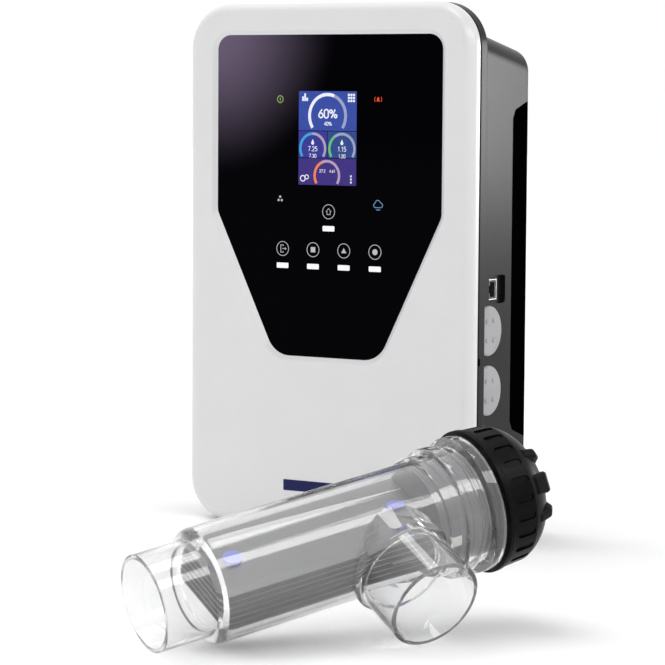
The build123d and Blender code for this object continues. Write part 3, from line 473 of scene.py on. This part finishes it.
def add_number(bm, text, cx, cz, height, width, front, thickness):
    """Digits centred on a point."""
    total = sum(DIGIT_STEP.get(character, USUAL_STEP) for character in text) - DIGIT_GAP
    at = cx - total * height / 2
    for character in text:
        for kind, points in DIGITS[character]:
            placed = [(at + x * height, cz + (z - 0.5) * height) for x, z in points]
            add_stroke(bm, placed, width, front, thickness, closed=kind == "loop")
        at += DIGIT_STEP.get(character, USUAL_STEP) * height


def graphic(name, materials, draw):
    """One piece of window graphics; draw gets the mesh, in millimetres."""
    bm = bmesh.new()
    draw(bm)
    tidy(bm)
    bmesh.ops.scale(bm, vec=(MM, MM, MM), verts=bm.verts)
    obj = piece(name, bm, materials, "cover")


def layer(height):
    """Front face and thickness of a graphic whose face stands height off the lens."""
    return FACE - height, LAYER_SINK


def draw_panel(bm):
    """The display's dark surround."""
    middle = DISPLAY_TOP - DISPLAY_HEIGHT / 2
    width = DISPLAY_HALF * 2 + SURROUND
    outline = rounded_box(DISPLAY_X, middle, width, DISPLAY_HEIGHT + SURROUND, SURROUND)
    add_prism(bm, outline, FACE - PANEL_LAYER, PANEL_LAYER)


def draw_tiles(bm):
    """Four tiles of the display."""
    front, thickness = layer(TILE_LAYER)
    half = DISPLAY_HALF
    tiles = (
        (0.0, 30.9, -half, half),
        (31.4, 52.1, -half, -0.25),
        (31.4, 52.1, 0.25, half),
        (52.6, 73.6, -half, half),
    )
    for slot, (top, bottom, left, right) in enumerate(tiles):
        centre = (DISPLAY_X + (left + right) / 2, DISPLAY_TOP - (top + bottom) / 2)
        add_prism(bm, rounded_box(*centre, right - left, bottom - top, 0.3, 2), front, thickness, slot)


def draw_gauges(bm):
    """Four round gauges, each with a lit and an unlit part."""
    front, thickness = layer(INK_LAYER)
    gauges = (
        (0.0, 19.3, 18.0, 2.6, ((214, 69, 0), (69, -34, 1))),
        (-13.6, 44.9, 12.6, 2.1, ((213, 90, 3), (90, -33, 2))),
        (13.5, 44.9, 12.6, 2.1, ((213, 125, 4), (125, -33, 1))),
        (-0.3, 66.1, 12.4, 2.1, ((213, 115, 5), (115, -33, 2))),
    )
    for x, down, outside, width, parts in gauges:
        centre = (DISPLAY_X + x, DISPLAY_TOP - down)
        for start, end, slot in parts:
            add_band(bm, *centre, outside - width / 2, width, start, end, front, thickness, slot)


def draw_digits(bm):
    """The numbers shown in the gauges."""
    front, thickness = layer(INK_LAYER)
    numbers = (
        ("60%", 0.0, 17.6, 6.6, 1.15), ("40%", 0.3, 25.4, 2.7, 0.5),
        ("7.25", -13.6, 45.2, 3.5, 0.5), ("7.30", -13.6, SECONDARY_Z, 2.7, 0.42),
        ("1.15", 13.5, 45.2, 3.5, 0.5), ("1.20", 13.5, SECONDARY_Z, 2.7, 0.42),
        ("27.2", -4.5, 62.5, 2.2, 0.36), ("4.61", 4.6, 62.5, 2.2, 0.36),
    )
    for text, x, down, height, width in numbers:
        add_number(bm, text, DISPLAY_X + x, DISPLAY_TOP - down, height, width, front, thickness)


def draw_screen_icons(bm):
    """Bar chart, grid, two rings, three dots and a drop for each middle gauge."""
    front, thickness = layer(INK_LAYER)
    for i, height in enumerate((3.6, 6.0, 2.6)):
        centre = (-22.9 + i * 1.95, DISPLAY_TOP - 7.8 + height / 2)
        add_prism(bm, rounded_box(*centre, 1.6, height, 0.2, 2), front, thickness)
    for column in range(3):
        for row in range(3):
            centre = (19.6 + column * 2.35, DISPLAY_TOP - 2.8 - row * 2.35)
            add_prism(bm, rounded_box(*centre, 1.8, 1.8, 0.3, 2), front, thickness)
    add_band(bm, -22.7, DISPLAY_TOP - 68.6, 2.2, 0.8, 0, 360, front, thickness, steps=24)
    add_band(bm, -19.0, DISPLAY_TOP - 67.4, 1.6, 0.7, 0, 360, front, thickness, steps=24)
    for down in (66.2, 68.6, 71.0):
        add_prism(bm, rounded_box(22.0, DISPLAY_TOP - down, 1.5, 1.5, 0.4, 3), front, thickness)
    for x in (-13.6, 13.5):
        tip = DISPLAY_TOP - 37.6
        drop = [(x, tip)] + arc_points(x, tip - 3.1, 1.35, 20, -200, 14)
        add_prism(bm, drop, front, thickness)


def moved(points, place):
    """Points drawn about (0, 0), moved to a place."""
    return [(place[0] + x, place[1] + z) for x, z in points]


def key_places():
    """The middle of each touch key's ring, the home key first."""
    places = [(HOME_KEY[0] / MM, HOME_KEY[1] / MM)]
    return places + [((KEY_ROW_X[0] + i * KEY_PITCH) / MM, KEY_ROW_Z / MM) for i in range(4)]


def draw_keys(bm):
    """Five touch keys with their marks: home, exit, square, triangle and dot."""
    front = FACE - PANEL_LAYER
    home, leave, stop, rise, pick = key_places()
    for x, z in key_places():
        add_band(bm, x, z, KEY_RING_RADIUS, KEY_RING_WIDTH, 0, 360, front, PANEL_LAYER, steps=48)
    roof = [(-2.3, 0.2), (0, 2.5), (2.3, 0.2), (1.5, 0.2), (1.5, -2.2), (-1.5, -2.2), (-1.5, 0.2)]
    add_stroke(bm, moved(roof, home), 0.45, front, PANEL_LAYER, closed=True)
    door = [(0.6, 2.1), (0.6, 2.9), (-1.8, 2.9), (-1.8, -2.9), (0.6, -2.9), (0.6, -2.1)]
    add_stroke(bm, moved(door, leave), 0.5, front, PANEL_LAYER)
    add_stroke(bm, moved([(-0.4, 0), (2.4, 0)], leave), 0.5, front, PANEL_LAYER)
    add_prism(bm, moved([(2.2, 1.1), (3.6, 0), (2.2, -1.1)], leave), front, PANEL_LAYER)
    add_prism(bm, rounded_box(*stop, 4.2, 4.2, 0.3, 2), front, PANEL_LAYER)
    add_prism(bm, moved([(-2.4, -1.8), (2.4, -1.8), (0, 2.2)], rise), front, PANEL_LAYER)
    add_prism(bm, arc_points(*pick, 2.35, 0, 345, 23), front, PANEL_LAYER)


def draw_bars(bm):
    """The lit bar under each key, over its light guide."""
    size = (KEY_BAR_WIDTH / MM, KEY_BAR_HEIGHT / MM)
    for x, z in key_places():
        outline = rounded_box(x, z - KEY_BAR_DROP / MM, *size, 0.7, 3)
        add_prism(bm, outline, FACE - PANEL_LAYER, PANEL_LAYER)


def draw_lamps(bm):
    """Power ring, alarm lamp, dot cluster and cloud, one colour each."""
    front = FACE - PANEL_LAYER
    add_band(bm, *POWER_LAMP, 2.7, 0.6, 0, 360, front, PANEL_LAYER, 0, 30)
    add_prism(bm, rounded_box(*POWER_LAMP, 0.6, 2.4, 0.2, 2), front, PANEL_LAYER, 0)
    bell = [(-1.6, -1.6), (1.6, -1.6), (1.1, -0.6), (0.9, 1.0), (0.0, 1.9), (-0.9, 1.0), (-1.1, -0.6)]
    add_prism(bm, moved(bell, ALARM_LAMP), front, PANEL_LAYER, 1)
    for start in (-35, 145):
        add_band(bm, *ALARM_LAMP, 3.2, 0.5, start, start + 70, front, PANEL_LAYER, 1, 10)
    for x, z in LAMP_DOTS:
        add_prism(bm, arc_points(x, z, 0.95, 0, 345, 12), front, PANEL_LAYER, 2)
    cloud = [point for arc in CLOUD_ARCS for point in arc_points(*arc, 8)]
    add_stroke(bm, cloud, 0.55, front, PANEL_LAYER, 3, True)
    add_prism(bm, rounded_box(*CLOUD_FOOT, 3.6, 0.6, 0.2, 2), front, PANEL_LAYER, 3)


# ---- the clear cell, one moulding ---------------------------------------------------
PIPE_RADIUS = INLET["dims"]["r_mm"]
BORE_RADIUS = record_mount("inlet_bore")["dims"]["r_mm"]
BORE_DEPTH = record_mount("inlet_bore")["dims"]["length_mm"]
STUB_LENGTH = INLET["dims"]["length_mm"]
BRANCH_LENGTH = OUTLET["dims"]["length_mm"]
BRANCH_END = 77.0
TUBE_RADIUS = 37.5
TUBE_BORE = 34.5
SHOULDER = 7.0
TUBE_END = 200.0
COLLAR_RADIUS = 39.8
COLLAR_END = 250.0
RINGS = ((211.5, 222.0, 43.0), (230.0, 238.5, 45.5))
THROAT_RADIUS = 27.0
FLARE = 3.0
FLARE_LENGTH = 4.0
BRANCH_START = 5.0
ROUND = 1.1
ROUND_TURNS = (0, 0.4, 0.8, 1.2, math.pi / 2)
RIM_ROUND = 0.8
SHARP_ANGLE = 32
SEGMENTS = 144


def revolved(profile, name, along="x", at=0.0):
    """A closed solid turned from (distance, radius) points about the cell's or the branch's axis."""
    bm = bmesh.new()
    rows = []
    for i in range(SEGMENTS):
        turn = 2 * math.pi * i / SEGMENTS
        spokes = [(u, r * math.cos(turn), r * math.sin(turn)) for u, r in profile]
        if along == "z":
            spokes = [(at + x, y, -u) for u, x, y in spokes]
        rows.append([bm.verts.new(place) for place in spokes])
    for i in range(SEGMENTS):
        a, b = rows[i], rows[(i + 1) % SEGMENTS]
        for k in range(len(profile) - 1):
            bm.faces.new((a[k], a[k + 1], b[k + 1], b[k]))
    bm.faces.new([row[0] for row in rows])
    bm.faces.new([row[-1] for row in rows])
    tidy(bm)
    mesh = bpy.data.meshes.new(name)
    bm.to_mesh(mesh)
    bm.free()
    obj = bpy.data.objects.new(name, mesh)
    bpy.context.scene.collection.objects.link(obj)
    return obj


def corner(u, r, du, dr, size, steps=5):
    """A rounded outer corner at (u, r); du and dr point from it into the material."""
    points = []
    for i in range(steps + 1):
        turn = math.pi / 2 * i / steps
        points.append((u + du * size * (1 - math.sin(turn)), r + dr * size * (1 - math.cos(turn))))
    return points


def outer_profile():
    """The cell's outside from the inlet's rim to the collar's end."""
    points = sorted(corner(0, PIPE_RADIUS, 1, -1, RIM_ROUND))
    points += [(STUB_LENGTH - 0.01, PIPE_RADIUS)]
    for i in range(13):
        turn = math.pi / 2 * i / 12
        radius = TUBE_RADIUS - SHOULDER * (1 - math.sin(turn))
        if radius >= PIPE_RADIUS:
            points.append((STUB_LENGTH + SHOULDER * (1 - math.cos(turn)), radius))
    points += [(TUBE_END, TUBE_RADIUS), (TUBE_END, COLLAR_RADIUS)]
    for start, end, radius in RINGS:
        points += [(start, COLLAR_RADIUS)]
        for turn in ROUND_TURNS:
            points.append((start + ROUND * (1 - math.cos(turn)), radius - ROUND * (1 - math.sin(turn))))
        for turn in ROUND_TURNS:
            points.append((end - ROUND * (1 - math.sin(turn)), radius - ROUND * (1 - math.cos(turn))))
        points += [(end, COLLAR_RADIUS)]
    return points + [(COLLAR_END, COLLAR_RADIUS)]


def join(target, other, operation):
    """Applies an exact boolean and drops the other solid."""
    modifier = target.modifiers.new("cut", "BOOLEAN")
    modifier.operation = operation
    modifier.solver = "EXACT"
    modifier.object = other
    graph = bpy.context.evaluated_depsgraph_get()
    mesh = bpy.data.meshes.new_from_object(target.evaluated_get(graph))
    target.modifiers.clear()
    target.data = mesh
    bpy.data.objects.remove(other)


def clear_cell():
    """Stub, tube, branch and collar as one clear moulding with rounded rims."""
    shell = revolved(outer_profile(), "clear_cell")
    root = BRANCH_END - BRANCH_LENGTH
    rim = sorted(corner(BRANCH_END, PIPE_RADIUS, -1, -1, RIM_ROUND))
    wide = PIPE_RADIUS + FLARE
    start = [(BRANCH_START, wide), (root - FLARE_LENGTH - 0.2, wide)]
    stages = (0.1, 0.3, 0.5, 0.75, 1)
    flare = [(root - FLARE_LENGTH * (1 - t), PIPE_RADIUS + FLARE * (1 - t) ** 2.2) for t in stages]
    join(shell, revolved(start + flare + rim, "branch_outside", "z", BRANCH_AT / MM), "UNION")
    bore = [(-1, BORE_RADIUS), (BORE_DEPTH, BORE_RADIUS)]
    bore += [(BORE_DEPTH, TUBE_BORE), (COLLAR_END + 1, TUBE_BORE)]
    join(shell, revolved(bore, "tube_inside"), "DIFFERENCE")
    throat = [(BRANCH_START, THROAT_RADIUS), (root, THROAT_RADIUS)]
    throat += [(root, BORE_RADIUS), (BRANCH_END + 1, BORE_RADIUS)]
    join(shell, revolved(throat, "branch_inside", "z", BRANCH_AT / MM), "DIFFERENCE")
    shell.data.transform(CELL_PLACE @ Matrix.Scale(MM, 4))
    shell.data.materials.clear()
    shell.data.materials.append(MATERIALS["clear_acrylic"])
    shell.data.shade_smooth()
    shell.data.set_sharp_from_angle(angle=math.radians(SHARP_ANGLE))
    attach(shell, "cell")
    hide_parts("cell_tube", "inlet_stub", "side_branch", "union_collar")


# ---- finishes for the CAD pieces ---------------------------------------------------
def finish_cad_nodes():
    """Each CAD node takes its record slot's material."""
    for entry in frame["record"]["subparts"]:
        node = NODES[entry["node"]]
        node.data.materials.clear()
        node.data.materials.append(MATERIALS[entry["material_slot"]])


finish_cad_nodes()
graphic("screen_surround", ["lens_black"], draw_panel)
graphic("screen_tiles", ["screen_blue", "screen_indigo", "screen_teal", "screen_purple"], draw_tiles)
gauge_colours = ["screen_white", "gauge_grey", "gauge_pink", "gauge_cyan", "gauge_green", "gauge_orange"]
graphic("screen_gauges", gauge_colours, draw_gauges)
graphic("screen_digits", ["screen_white"], draw_digits)
graphic("screen_icons", ["screen_white"], draw_screen_icons)
graphic("key_marks", ["ink_grey"], draw_keys)
graphic("key_bars_lit", ["light_white"], draw_bars)
graphic("window_lamps", ["lamp_green", "lamp_red", "ink_grey", "lamp_blue"], draw_lamps)
clear_cell()


# ---- stage --------------------------------------------------------------------------
def make_floor():
    """A wide pale floor."""
    bm = bmesh.new()
    bmesh.ops.create_grid(bm, x_segments=2, y_segments=2, size=14.0)
    mesh = bpy.data.meshes.new("studio_floor")
    bm.to_mesh(mesh)
    bm.free()
    floor = bpy.data.objects.new("studio_floor", mesh)
    bpy.context.scene.collection.objects.link(floor)
    m = Nodes("floor_paper")
    drift = m.two_colours(m.noise(900.0, 2.0), (0.93, 0.93, 0.93), (0.95, 0.95, 0.95))
    m.link(drift, m.shader.inputs["Base Color"])
    m.set(Roughness=0.9, Specular_IOR_Level=0.1)
    mesh.materials.append(m.material)


def make_light(name, place, target, size, power):
    """A rectangular soft light aimed at a point."""
    data = bpy.data.lights.new(name, "AREA")
    data.shape = "RECTANGLE"
    data.size = size[0]
    data.size_y = size[1]
    data.energy = power
    lamp = bpy.data.objects.new(name, data)
    bpy.context.scene.collection.objects.link(lamp)
    lamp.location = place
    lamp.rotation_mode = "QUATERNION"
    lamp.rotation_quaternion = (Vector(target) - Vector(place)).to_track_quat("-Z", "Y")
    return lamp


def make_world():
    """White to the camera; for light and reflections, bright behind and above and dark in front."""
    world = bpy.data.worlds.new("studio")
    bpy.context.scene.world = world
    world.use_nodes = True
    tree = world.node_tree
    seen = tree.nodes["Background"]
    seen.inputs["Color"].default_value = (1, 1, 1, 1)
    seen.inputs["Strength"].default_value = 1.0
    where = tree.nodes.new("ShaderNodeTexCoord")
    aim = tree.nodes.new("ShaderNodeVectorMath")
    aim.operation = "DOT_PRODUCT"
    aim.inputs[1].default_value = BRIGHT_SIDE
    ramp = tree.nodes.new("ShaderNodeValToRGB")
    ramp.color_ramp.interpolation = "EASE"
    ramp.color_ramp.elements[0].position = 0.42
    ramp.color_ramp.elements[0].color = (0.55, 0.55, 0.56, 1)
    ramp.color_ramp.elements[1].position = 0.62
    ramp.color_ramp.elements[1].color = (1, 1, 1, 1)
    shift = tree.nodes.new("ShaderNodeMapRange")
    shift.inputs["From Min"].default_value = -1.0
    shift.inputs["From Max"].default_value = 1.0
    tree.links.new(where.outputs["Generated"], aim.inputs[0])
    tree.links.new(aim.outputs["Value"], shift.inputs["Value"])
    tree.links.new(shift.outputs["Result"], ramp.inputs["Fac"])
    lit = tree.nodes.new("ShaderNodeBackground")
    lit.inputs["Strength"].default_value = 1.0
    tree.links.new(ramp.outputs["Color"], lit.inputs["Color"])
    path = tree.nodes.new("ShaderNodeLightPath")
    mix = tree.nodes.new("ShaderNodeMixShader")
    tree.links.new(path.outputs["Is Camera Ray"], mix.inputs["Fac"])
    tree.links.new(lit.outputs["Background"], mix.inputs[1])
    tree.links.new(seen.outputs["Background"], mix.inputs[2])
    tree.links.new(mix.outputs["Shader"], tree.nodes["World Output"].inputs["Surface"])


def make_camera():
    """The camera, aimed by its azimuth, pitch and roll."""
    data = bpy.data.cameras.new("photo_view")
    camera = bpy.data.objects.new("photo_view", data)
    bpy.context.scene.collection.objects.link(camera)
    data.lens = LENS_MM
    data.sensor_width = SENSOR_MM
    data.clip_end = 60.0
    yaw, pitch, roll = (math.radians(v) for v in (VIEW_AZIMUTH, VIEW_PITCH, VIEW_ROLL))
    level = Vector((-math.sin(yaw), math.cos(yaw), 0))
    ahead = level * math.cos(pitch) + Vector((0, 0, math.sin(pitch)))
    right = Vector((math.cos(yaw), math.sin(yaw), 0))
    up = right.cross(ahead)
    right_rolled = right * math.cos(roll) + up * math.sin(roll)
    up_rolled = up * math.cos(roll) - right * math.sin(roll)
    turn = Matrix((right_rolled, up_rolled, -ahead)).transposed()
    camera.rotation_mode = "QUATERNION"
    camera.rotation_quaternion = turn.to_quaternion()
    camera.location = EYE
    bpy.context.scene.camera = camera


def make_sun(name, direction, strength, spread, shadows):
    """An even light from far away, not seen in reflections."""
    data = bpy.data.lights.new(name, "SUN")
    data.energy = strength
    data.angle = math.radians(spread)
    data.use_shadow = shadows
    lamp = bpy.data.objects.new(name, data)
    bpy.context.scene.collection.objects.link(lamp)
    lamp.rotation_mode = "QUATERNION"
    lamp.rotation_quaternion = (-Vector(direction)).to_track_quat("-Z", "Y")
    lamp.visible_glossy = False
    lamp.visible_transmission = False


def cell_point(along):
    """A point on the cell's axis, so many millimetres from the inlet's rim."""
    return CELL_START + CELL_AXIS * along * MM


def make_card(name, place, target, size, radiance):
    """A light seen only in reflections."""
    lamp = make_light(name, place, target, size, radiance * math.pi * size[0] * size[1])
    lamp.visible_diffuse = False
    return lamp


def make_streak(name, point, height, radiance):
    """A reflected streak along the tube, so many radii above its middle line."""
    to_eye = (EYE - point).normalized()
    facing = (to_eye - CELL_AXIS * to_eye.dot(CELL_AXIS)).normalized()
    across = CELL_AXIS.cross(facing)
    across = across if across.z > 0 else -across
    normal = across * height + facing * math.sqrt(1 - height * height)
    mirrored = normal * 2 * normal.dot(to_eye) - to_eye
    place = point + mirrored * STREAK_AWAY
    size = (STREAK_LENGTH, STREAK_WIDTH)
    lamp = make_card(name, place, point, size, radiance)
    back = (place - point).normalized()
    side = (CELL_AXIS - back * CELL_AXIS.dot(back)).normalized()
    lamp.rotation_quaternion = Matrix((side, back.cross(side), back)).transposed().to_quaternion()


make_camera()
make_floor()
make_world()
make_sun("sky_top", (-0.6, 0.1, 1.0), 1.15, 45, True)
make_sun("front_fill", (-0.25, -1.0, 0.35), 0.25, 10, False)
make_streak("tube_streak", cell_point(TUBE_MIDDLE), 0.26, 4.5)
make_card("side_card", SIDE_CARD_PLACE, SIDE_WALL_POINT, (0.2, 0.35), 22.0)
collar_point = cell_point(COLLAR_MIDDLE)
make_card("top_card", collar_point + TOP_CARD_RISE, collar_point, (0.5, 0.5), 5.0)
bpy.context.scene.view_settings.view_transform = "Standard"
